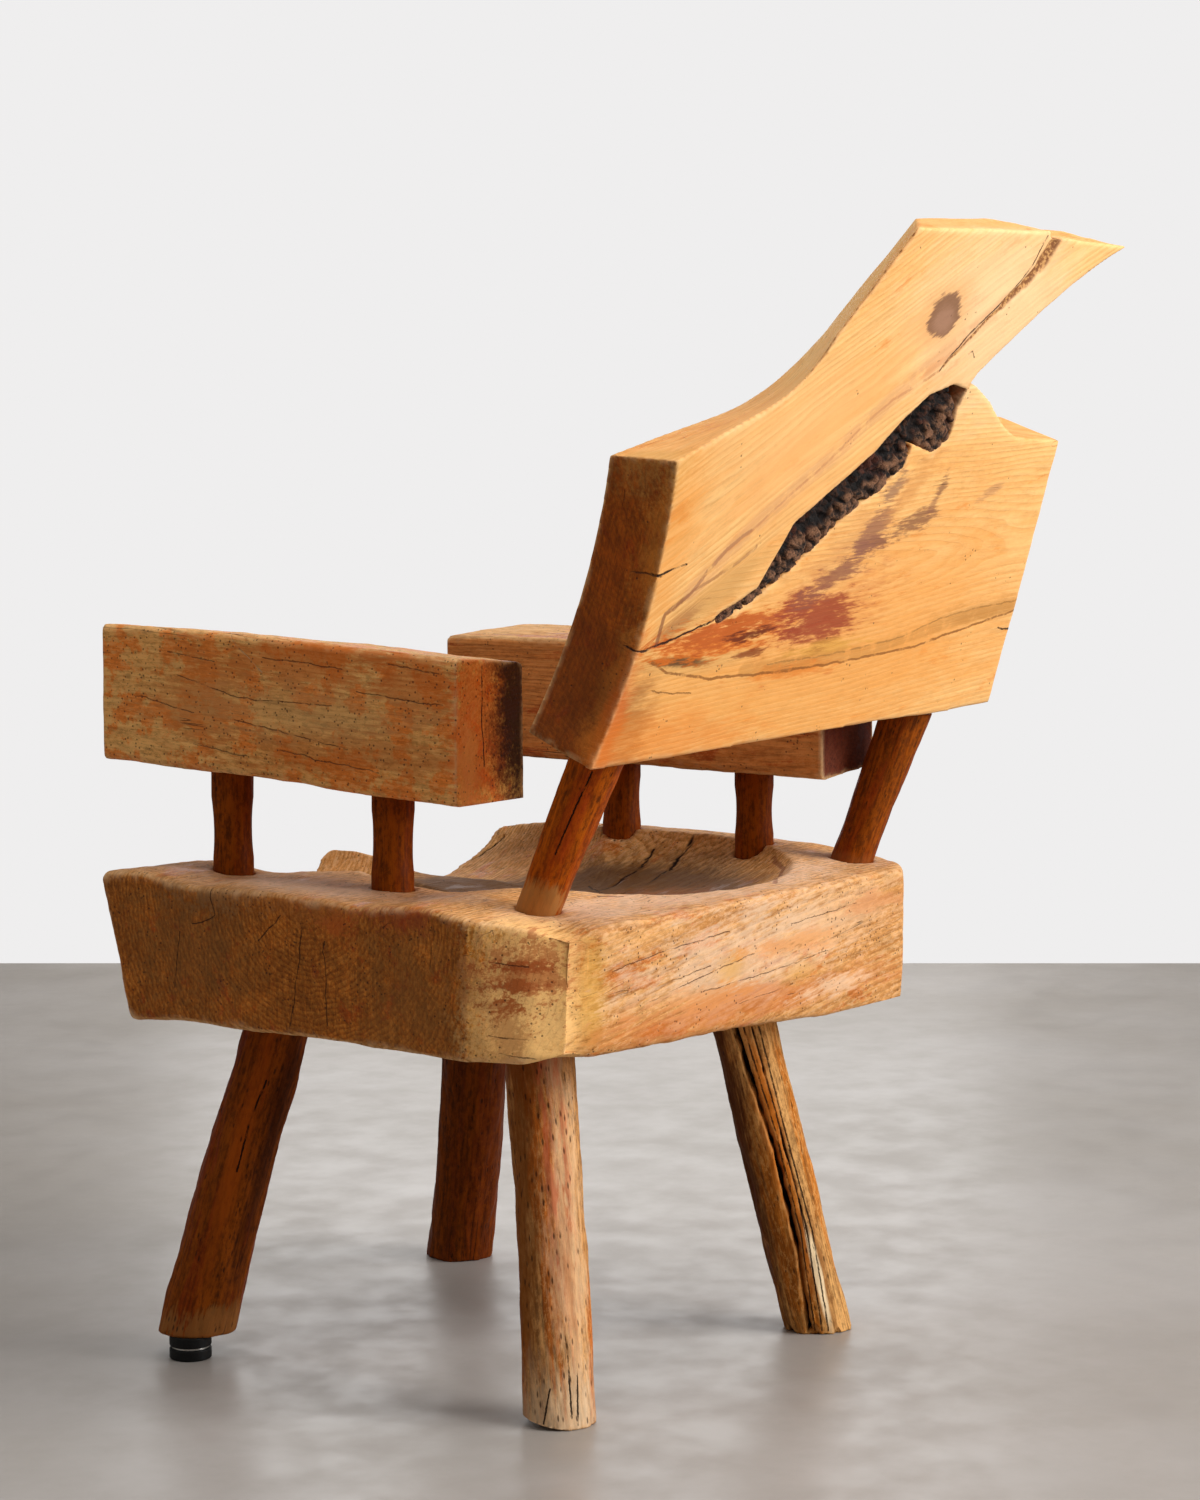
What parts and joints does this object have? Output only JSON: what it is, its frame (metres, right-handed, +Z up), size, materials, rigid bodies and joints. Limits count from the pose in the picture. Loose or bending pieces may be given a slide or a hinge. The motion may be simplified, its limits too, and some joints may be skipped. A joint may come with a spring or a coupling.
{
  "type": "rustic twig armchair",
  "caption": "Rustic armchair with a thick saddle-carved half-log seat, splayed branch legs, beam armrests on round posts and a raked crotch-wood slab back.",
  "frame": {"origin": "bottom centre of the whole chair's bounding box, on the floor", "axes": "+Z up, -Y the way the sitter faces, +X to the sitter's left"},
  "size_m": [0.6622, 0.7314, 1.0195],
  "materials": {
    "seat_wood": "worn varnish, hewn and checked",
    "leg_wood": "aged varnish over a peeled branch",
    "post_wood": "dark aged varnish over a peeled branch",
    "slab_wood": "honey varnish",
    "arm_wood": "worn varnish",
    "bark": "rough bark",
    "rubber": "plain black rubber",
    "steel": "plain"
  },
  "bodies": {
    "root": {"seat": "seat_wood", "leg_front_left": "leg_wood", "leg_rear_left": "leg_wood", "leg_rear_right": "leg_wood", "leg_front_right": "leg_wood", "back_post_left": "post_wood", "back_post_right": "post_wood", "backrest": "slab_wood", "bark_inclusion": "bark", "arm_post_front_left": "post_wood", "arm_post_rear_left": "post_wood", "arm_post_front_right": "post_wood", "arm_post_rear_right": "post_wood", "armrest_left": "arm_wood", "armrest_right": "arm_wood", "foot_pad_upper": "rubber", "foot_pad_lower": "rubber", "foot_washer": "steel", "foot_screw": "steel"}
  },
  "joints": []
}
